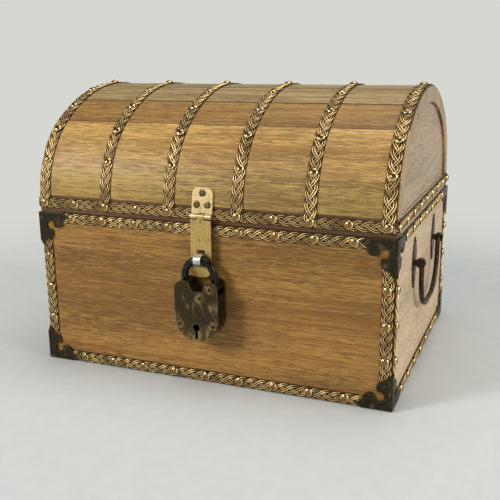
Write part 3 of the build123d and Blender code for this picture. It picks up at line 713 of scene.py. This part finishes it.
# Each side's direction to the right, its normal, its half width and its distance from the middle
SIDES = {"front": ((1, 0, 0), (0, -1, 0), HALF_WIDTH, HALF_DEPTH),
         "back": ((-1, 0, 0), (0, 1, 0), HALF_WIDTH, HALF_DEPTH),
         "right": ((0, 1, 0), (1, 0, 0), HALF_DEPTH, HALF_WIDTH),
         "left": ((0, -1, 0), (-1, 0, 0), HALF_DEPTH, HALF_WIDTH)}


def side_strip(unit, name, side, low, high, margin):
    """A level strip on one side, between two heights and with a margin at both ends."""
    along, normal, across, reach = SIDES[side]
    point = Vector(normal) * reach + UP * (low + high) / 2
    return laid(braid_strip(unit, name, 2 * (across + margin), high - low), point, along, normal)


def band_path(foot, step):
    """The line under a band: over the rim strip, onto the wood, over the dome and down again."""
    rise = [arch_point(foot, STRIP_METAL), arch_point(step + BAND_LEAVES, STRIP_METAL),
            arch_point(step + BAND_LANDS, 0)]
    start = step + BAND_STARTS
    dome_length = ARCH_LENGTH - 2 * start
    arch = [arch_point(start + dome_length * i / BAND_STEPS, 0) for i in range(BAND_STEPS + 1)]
    return rise + arch + [(-y, z) for y, z in reversed(rise)]


def bent_band(unit, name, path, width):
    """A strip of braid bent along a path in the YZ plane."""
    points = [Vector(p) for p in path]
    length = sum((b - a).length for a, b in zip(points, points[1:]))
    strip = braid_strip(unit, name, length, width)
    settle(strip, Matrix.Translation((length / 2, 0, 0)) @ Matrix.Rotation(-math.pi / 2, 4, "X"))
    guide = row_curve("band_path", [(y, z, 0) for y, z in path], "2D")
    modify(strip, "CURVE", object=guide, deform_axis="POS_X")
    remove(guide)
    return strip


class CHEST_OT_boards(bpy.types.Operator):
    """Round the boards and staves and give each its own piece of timber"""
    bl_idname = "chest.boards"
    bl_label = "Boards and staves"

    def execute(self, context):
        for name, look in BOARDS.items():
            piece = node_copy(name, name + "_wood")
            merged(piece)
            seamed(piece, context.scene.chest_sizes.board_edge, "stave" in name)
            body, slot = ("lid", "lid_wood") if name.startswith("lid") else ("chest", "body_wood")
            hand_over(piece, body, slot, wood("wood_" + name, *look, end="_end" in name), name)
        return {"FINISHED"}


def seamed(piece, width, stave):
    """Round a board's edges, mark the rounded faces, which the finish darkens, and the cut ends of a stave.
    """
    for _ in range(2):
        piece.data.materials.append(None)
    round_edges(piece, width, material=1)
    mesh = piece.data
    for label in ("seam", "cut"):
        mesh.attributes.new(label, "FLOAT", "FACE")
    for polygon in mesh.polygons:
        mesh.attributes["seam"].data[polygon.index].value = polygon.material_index
        mesh.attributes["cut"].data[polygon.index].value = stave and abs(polygon.normal.x) > 0.9
        polygon.material_index = 0


# Each board's tone and place in the timber, then its redness, greyness, growth lines and red heart
BOARDS = {
    "front_panel": ("front_wood", (0.3, 1.2, 0.4), 0.35, 0.1, 0.12, (86 * MM, 24 * MM)),
    "back_panel": ("front_wood", (5.3, 2.2, 7.4), 0.5, 0.2),
    "right_end_panel": ("end_wood", (2.1, 4.7, 3.3), 0.1),
    "left_end_panel": ("end_wood", (8.1, 1.7, 6.3), 0.2),
    "bottom_board": ("inner_wood", (4.4, 0.7, 1.3)),
    "lid_rail_front": ("inner_wood", (1.4, 6.1, 2.2), 0.2, 0.0),
    "lid_rail_back": ("inner_wood", (7.4, 3.1, 5.2), 0.2, 0.0),
    "lid_stave_1": ("olive_wood", (3.7, 2.3, 8.8), 0.2, 0.6),
    "lid_stave_2": ("gold_wood", (6.2, 5.5, 1.1), 0.15, 0.5),
    "lid_stave_3": ("brown_wood", (9.1, 0.9, 4.6), 0.35, 0.1, 0.4),
    "lid_stave_4": ("crown_wood", (2.8, 7.9, 3.9), 0.4, 0.3, 0.4),
    "lid_stave_5": ("crown_wood", (5.9, 8.6, 0.2), 0.1, 0.6),
    "lid_stave_6": ("gold_wood", (0.8, 3.6, 6.7), 0.3, 0.3),
    "lid_stave_7": ("brown_wood", (4.9, 9.3, 2.7), 0.4, 0.3),
    "lid_stave_8": ("gold_wood", (8.3, 6.6, 9.5), 0.2, 0.4),
    "lid_stave_9": ("olive_wood", (1.9, 4.1, 7.1), 0.4, 0.3),
    "lid_end_right": ("lid_end_wood", (6.6, 2.9, 4.1), 0.1, 0.6),
    "lid_end_left": ("lid_end_wood", (3.2, 8.2, 5.8), 0.1, 0.6),
}


class CHEST_OT_braids(bpy.types.Operator):
    """Lay the braided strips round the edges and bend the braided bands over the lid"""
    bl_idname = "chest.braids"
    bl_label = "Braided strips and bands"

    def execute(self, context):
        sizes = context.scene.chest_sizes
        unit = braid_unit()
        finish = braid_finish()
        stop = sizes.strip_stop
        rim_low, rim_high = (corner.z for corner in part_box("rim_strip_front"))
        top_low, top_high = (corner.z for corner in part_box("top_strip_front"))
        base_low, base_high = (corner.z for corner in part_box("bottom_strips"))
        for side in SIDES:
            margin = 0 if side in ("front", "back") else STRIP_METAL
            strip = side_strip(unit, "rim_braid_" + side, side, rim_low, rim_high, margin)
            hand_over(strip, "lid", "braided_metal", finish, "rim_strip_" + side)
            strip = side_strip(unit, "top_braid_" + side, side, top_low, top_high, -stop)
            hand_over(strip, "chest", "braided_metal", finish, "top_strip_" + side)
        base = [side_strip(unit, "base_" + side, side, base_low, base_high, -stop) for side in SIDES]
        hand_over(joined(base, "bottom_braids"), "chest", "braided_metal", finish, "bottom_strips")
        corners = self.corner_braids(unit, sizes.corner_width, stop, top_high - stop)
        hand_over(corners, "chest", "braided_metal", finish, "corner_strips")
        path = band_path(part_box("lid_band_1")[0].z - SPRING, rim_high - SPRING)
        for number in range(1, 7):
            low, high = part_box(f"lid_band_{number}")
            band = bent_band(unit, f"lid_braid_{number}", path, high.x - low.x - 2 * sizes.band_inset)
            raised = Matrix(((0, 0, 1, (low.x + high.x) / 2), (1, 0, 0, 0), (0, 1, 0, 0), (0, 0, 0, 1)))
            settle(band, raised)
            hand_over(band, "lid", "braided_metal", finish, f"lid_band_{number}")
        remove(unit)
        return {"FINISHED"}

    def corner_braids(self, unit, width, low, high):
        """Two upright strips at each corner of the body, one on each face."""
        strips = []
        for along, normal, across, reach in SIDES.values():
            for end in (-1, 1):
                aside = Vector(along) * end * (across - width / 2)
                point = Vector(normal) * reach + aside + UP * (low + high) / 2
                strips.append(laid(braid_strip(unit, "corner", high - low, width), point, UP, normal))
        return joined(strips, "corner_braids")


# Share of the ball's radius cut off under a tack's head
TACK_CUT = 0.05


def dome():
    """One tack head: half a ball, flattened."""
    sizes = bpy.context.scene.chest_sizes
    bpy.ops.mesh.primitive_uv_sphere_add(segments=14, ring_count=8, radius=1)
    head = bpy.context.object
    with editing(head):
        bpy.ops.mesh.bisect(plane_co=(0, 0, TACK_CUT), plane_no=(0, 0, 1), clear_inner=True, use_fill=True)
    head.scale = (sizes.tack_radius, sizes.tack_radius, sizes.tack_height)
    settle(head)
    with editing(head):
        bpy.ops.transform.translate(value=(0, 0, -TACK_CUT * sizes.tack_height))
    smooth(head, 50)
    # Height on the head, from which the finish paints a dark reflection at the foot and a golden one on the
    # flank
    level = head.data.attributes.new("level", "FLOAT", "POINT")
    for vertex, value in zip(head.data.vertices, level.data):
        value.value = vertex.co.z / sizes.tack_height
    return head


def scatter(pattern, places, name, spin):
    """Copies of a pattern at places with normals, each turned further, joined into one piece."""
    copies = []
    for number, (point, normal) in enumerate(places):
        copy = duplicate(pattern, name)
        copy.matrix_world = placed(point, normal) @ Matrix.Rotation(spin * number, 4, "Z")
        copies.append(copy)
    piece = joined(copies, name)
    settle(piece)
    return piece


class CHEST_OT_tacks(bpy.types.Operator):
    """Drive the round-headed tacks along the bands and strips"""
    bl_idname = "chest.tacks"
    bl_label = "Tacks"

    def execute(self, context):
        finish = tack_finish()
        head = dome()
        for body, node_name in (("lid", "lid_tacks"), ("chest", "body_tacks")):
            places = [(point, -normal) for point, normal in flat_faces(node_name)]
            piece = scatter(head, places, node_name + "_domed", spin=1.1)
            hand_over(piece, body, "tack_metal", finish, node_name)
        remove(head)
        return {"FINISHED"}


class CHEST_OT_brackets(bpy.types.Operator):
    """Fit the blackened corner brackets"""
    bl_idname = "chest.brackets"
    bl_label = "Corner brackets"

    def execute(self, context):
        colours = context.scene.chest_colours
        finish = worn("blackened_iron", colours.bronze_dark, colours.iron_worn, metallic=0.75, edges=0.7,
                      rubbed=0.2, scale=300, bump=0.5)
        for node_name in ("upper_corner_brackets", "lower_corner_brackets"):
            piece = node_copy(node_name, node_name + "_rounded")
            merged(piece)
            self.reach_wood(piece)
            round_edges(piece, context.scene.chest_sizes.plate_edge)
            hand_over(piece, "chest", "blackened_iron", finish, node_name)
        return {"FINISHED"}

    def reach_wood(self, piece):
        """Take the sheet's inner faces back to the wood, where the strips end under it."""
        for vertex in piece.data.vertices:
            for axis, half in ((0, HALF_WIDTH), (1, HALF_DEPTH)):
                if abs(abs(vertex.co[axis]) - half - STRIP_METAL) < 0.05 * MM:
                    vertex.co[axis] = math.copysign(half, vertex.co[axis])


def screw_head():
    """One raised head with a small crossed slot."""
    radius = bpy.context.scene.chest_sizes.screw_radius
    depth, edge, top = 1.6 * MM, 0.6 * MM, 0.3 * MM
    bpy.ops.mesh.primitive_cylinder_add(vertices=32, radius=radius, depth=depth, location=(0, 0, -0.5 * MM))
    head = bpy.context.object
    settle(head)
    round_edges(head, edge, segments=3)
    for turn in (0, 90):
        bpy.ops.mesh.primitive_cube_add(size=1, location=(0, 0, top))
        blade = bpy.context.object
        blade.dimensions = (radius * 0.95, 0.75 * MM, 1.3 * MM)
        blade.rotation_euler.z = math.radians(turn)
        settle(blade)
        modify(head, "BOOLEAN", operation="DIFFERENCE", object=blade, solver="EXACT")
        remove(blade)
    smooth(head)
    return head


# Linear colours of bare, worn metal
POLISHED_BRASS = (0.9, 0.78, 0.55, 1)
POLISHED_STEEL = (0.8, 0.78, 0.72, 1)


class CHEST_OT_hasp(bpy.types.Operator):
    """Fit the hasp, its staple and its screws, and the screws of the back hinges"""
    bl_idname = "chest.hasp"
    bl_label = "Hasp, staple and screws"

    def execute(self, context):
        colours = context.scene.chest_colours
        pale = brushed("pale_brass", colours.brass_pale, POLISHED_BRASS, (30, 900, 900))
        olive = brushed("olive_brass", colours.strap_brass, colours.brass_pale, (900, 900, 30))
        steel = worn("staple_steel", colours.steel, POLISHED_STEEL, metallic=1.0, rubbed=0.3, scale=300)
        dark = worn("screw_bronze", colours.screw_brown, colours.brass_pale, rubbed=0.1)
        fit("hasp_brass", pale, hasp_leaf="lid")
        fit("hasp_brass", olive, hasp_strap="hasp", hasp_pin="lid")
        fit("staple_steel", steel, staple="chest")
        head = screw_head()
        for node_name, body in (("hasp_screws", "lid"), ("lid_hinge_screws", "lid"),
                                ("body_hinge_screws", "chest")):
            piece = scatter(head, flat_faces(node_name), node_name + "_slotted", spin=0.7)
            hand_over(piece, body, "screw_steel", dark, node_name)
        remove(head)
        return {"FINISHED"}


class CHEST_OT_padlock(bpy.types.Operator):
    """Assemble the padlock's plates, band, rivets and shackle"""
    bl_idname = "chest.padlock"
    bl_label = "Padlock"

    def execute(self, context):
        colours = context.scene.chest_colours
        # Rubbed spots with their places, inner and outer radii: round the rivets, at the plate's foot and at
        # two places of its edge
        spots = [(*self.middle(faces), 2.5 * MM, 9 * MM) for faces in islands("padlock_rivets")]
        low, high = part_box("padlock_front_plate")
        spots += [((low.x + high.x) / 2, low.z - 30 * MM, 28 * MM, 62 * MM),
                  (high.x - 3 * MM, low.z + 38 * MM, 0, 13 * MM), (low.x, low.z + 26 * MM, 0, 12 * MM)]
        bronze = worn("lock_bronze", colours.bronze_dark, colours.brass_olive, metallic=0.8, edges=0.9,
                      rubbed=0.1, scale=230, bump=0.3, spots=spots, stretch=(1.3, 1.3, 0.6), haze=0.5)
        rivet = worn("rivet_bronze", colours.screw_brown, colours.brass_pale, edges=0.9, rubbed=0.0)
        black = worn("black_gloss_iron", colours.lock_black, colours.iron_worn, metallic=0.1, edges=0.25,
                     rubbed=0.05, scale=180, bump=0.05, coat=0.35, polish=0.4, specular=0.15)
        fit("lock_bronze", bronze, 0.6, padlock_front_plate="padlock", padlock_back_plate="padlock")
        fit("blackened_iron", black, 0.3, padlock_bridge="padlock", padlock_side_band="padlock")
        fit("rivet_bronze", rivet, 0.3, padlock_rivets="padlock")
        fit("blackened_iron", black, 0.3, padlock_bolt="lock_bolt")
        fit("blackened_iron", black, 0.25, padlock_shackle="shackle")
        return {"FINISHED"}

    def middle(self, faces):
        """The middle of a rivet's shell, across and up."""
        points = [point for face in faces for point in face[2]]
        return (sum(p.x for p in points) / len(points), sum(p.z for p in points) / len(points))


class CHEST_OT_handles(bpy.types.Operator):
    """Hang the bail handles in their eye plates"""
    bl_idname = "chest.handles"
    bl_label = "Bail handles"

    def execute(self, context):
        colours = context.scene.chest_colours
        iron = worn("handle_iron", colours.handle_brown, colours.iron_worn, metallic=0.85, edges=0.5,
                    rubbed=0.25, scale=260, bump=0.2)
        fit("handle_iron", iron, handle_eyes="chest", handle_right="handle_right", handle_left="handle_left")
        return {"FINISHED"}


class CHEST_OT_hinges(bpy.types.Operator):
    """Fit the two hinges on the back"""
    bl_idname = "chest.hinges"
    bl_label = "Back hinges"

    def execute(self, context):
        colours = context.scene.chest_colours
        iron = worn("hinge_iron", colours.iron_black, colours.brass_olive, metallic=0.85, edges=0.7,
                    rubbed=0.35, scale=220, bump=0.2)
        fit("hinge_iron", iron, body_hinge_leaves="chest", lid_hinge_leaves="lid", hinge_pins="chest")
        return {"FINISHED"}


# Each lamp's place, the point that it faces, its size in metres and its power in watts
LAMPS = {
    "key_lamp": ((-1.6, -1.8, 1.45), (0, 0, 0.12), 0.7, 44),
    "top_lamp": ((0.2, 0.3, 2.4), (0, 0, 0.1), 1.6, 25),
    "side_lamp": ((1.9, -0.2, 1.1), (0.1, 0, 0.12), 1.1, 22),
}
# The world's light, then what the camera sees besides, and what gloss mirrors besides, low and high
WORLD_LIGHT, WORLD_SEEN = 0.37, 0.63
MIRRORED_LOW, MIRRORED_HIGH = 0.63, -0.25
# Shares of its colour at which the lit floor looks like the backdrop
FLOOR_SHARES = (0.88, 0.90, 0.935, 1.0)
# Where the floor begins and ends to fade into the backdrop, in metres
FADE_BEGINS, FADE_ENDS = 0.32, 0.9
# The camera's place round its target: azimuth, elevation and roll in degrees
CAMERA_ANGLES = (22.1, 14.7, -0.60)
CAMERA_TARGET = Vector((-11.4, 0, 106.8)) * MM
CAMERA_DISTANCE = 937 * MM
# Focal length and picture width in pixels, and sensor width in millimetres
FOCAL_LENGTH, PICTURE_WIDTH, SENSOR_WIDTH = 765, 500, 36


def lamp(name, place, target, size, watts):
    """A soft square lamp that faces a point."""
    bpy.ops.object.light_add(type="AREA", location=place)
    light = bpy.context.object
    light.name = name
    light.data.shape = "SQUARE"
    light.data.size = size
    light.data.energy = watts
    light.rotation_euler = (Vector(target) - Vector(place)).to_track_quat("-Z", "Y").to_euler()


class CHEST_OT_stage(bpy.types.Operator):
    """Set the plain pale floor, the soft lamps and the camera"""
    bl_idname = "chest.stage"
    bl_label = "Stage"

    def execute(self, context):
        self.floor(context)
        self.world(context)
        for name, settings in LAMPS.items():
            lamp(name, *settings)
        self.camera(context)
        context.scene.view_settings.view_transform = "Standard"
        return {"FINISHED"}

    def floor(self, context):
        bpy.ops.mesh.primitive_circle_add(vertices=96, radius=6, fill_type="NGON", location=(0, 0, 0))
        floor = context.object
        floor.name = "floor"
        material, tree, principled, place = shader("pale_floor", 0.0, specular=0.2)
        colour = tuple(c * k for c, k in zip(context.scene.chest_colours.floor, FLOOR_SHARES))
        speckle = ramp(tree, noise(tree, place, 60, 3), 0.3, 0.7, 0.97, 1.0)
        tree.links.new(mixed(tree, 1.0, colour, speckle, "MULTIPLY"), principled.inputs["Base Color"])
        principled.inputs["Roughness"].default_value = 0.6
        fade = ramp(tree, measured(tree, "LENGTH", place), FADE_BEGINS, FADE_ENDS)
        clear = node(tree, "ShaderNodeBsdfTransparent").outputs[0]
        faded = node(tree, "ShaderNodeMixShader", {0: fade, 1: principled.outputs[0], 2: clear})
        tree.links.new(faded.outputs[0], tree.nodes["Material Output"].inputs["Surface"])
        floor.data.materials.append(material)

    def world(self, context):
        world = bpy.data.worlds.new("studio")
        context.scene.world = world
        world.use_nodes = True
        tree = world.node_tree
        background = tree.nodes["Background"]
        background.inputs["Color"].default_value = context.scene.chest_colours.floor
        path = node(tree, "ShaderNodeLightPath").outputs
        direction = node(tree, "ShaderNodeTexCoord").outputs["Generated"]
        height = node(tree, "ShaderNodeSeparateXYZ", {0: direction}).outputs[2]
        mirrored = ramp(tree, height, 0.1, 0.7, MIRRORED_LOW, MIRRORED_HIGH)
        strength = scaled(tree, path["Is Camera Ray"], WORLD_SEEN, WORLD_LIGHT)
        strength = scaled(tree, path["Is Glossy Ray"], mirrored, strength)
        tree.links.new(strength, background.inputs["Strength"])

    def camera(self, context):
        azimuth, elevation, roll = (math.radians(angle) for angle in CAMERA_ANGLES)
        level = math.cos(elevation)
        back = Vector((math.sin(azimuth) * level, -math.cos(azimuth) * level, math.sin(elevation)))
        right = UP.cross(back).normalized()
        up = back.cross(right)
        cosine, sine = math.cos(roll), math.sin(roll)
        right, up = right * cosine + up * sine, up * cosine - right * sine
        bpy.ops.object.camera_add(location=CAMERA_TARGET + back * CAMERA_DISTANCE)
        camera = context.object
        camera.data.sensor_width = SENSOR_WIDTH
        camera.data.lens = FOCAL_LENGTH / PICTURE_WIDTH * SENSOR_WIDTH
        camera.data.clip_start = 0.01
        camera.rotation_euler = Matrix((right, up, back)).transposed().to_euler()
        context.scene.camera = camera


class CHEST_PT_panel(bpy.types.Panel):
    """The chest's operators and settings"""
    bl_idname = "CHEST_PT_panel"
    bl_label = "Braided Chest"
    bl_space_type = "VIEW_3D"
    bl_region_type = "UI"
    bl_category = "Chest"

    def draw(self, context):
        layout = self.layout
        for operator in OPERATORS:
            layout.operator(operator.bl_idname)
        for settings in (context.scene.chest_sizes, context.scene.chest_colours):
            box = layout.box()
            for key in settings.bl_rna.properties.keys():
                if key not in ("rna_type", "name"):
                    box.prop(settings, key)


OPERATORS = (CHEST_OT_boards, CHEST_OT_braids, CHEST_OT_tacks, CHEST_OT_brackets, CHEST_OT_hasp,
             CHEST_OT_padlock, CHEST_OT_handles, CHEST_OT_hinges, CHEST_OT_stage)
CLASSES = (ChestSizes, ChestColours, *OPERATORS, CHEST_PT_panel)


def register():
    for each in CLASSES:
        bpy.utils.register_class(each)
    bpy.types.Scene.chest_sizes = bpy.props.PointerProperty(type=ChestSizes)
    bpy.types.Scene.chest_colours = bpy.props.PointerProperty(type=ChestColours)


def unregister():
    del bpy.types.Scene.chest_colours
    del bpy.types.Scene.chest_sizes
    for each in reversed(CLASSES):
        bpy.utils.unregister_class(each)


def main():
    """Dress the chest and set the stage."""
    register()
    wood_group()
    wear_group()
    bpy.ops.chest.boards()
    bpy.ops.chest.braids()
    bpy.ops.chest.tacks()
    bpy.ops.chest.brackets()
    bpy.ops.chest.hasp()
    bpy.ops.chest.padlock()
    bpy.ops.chest.handles()
    bpy.ops.chest.hinges()
    bpy.ops.chest.stage()


if __name__ == "__main__":
    main()
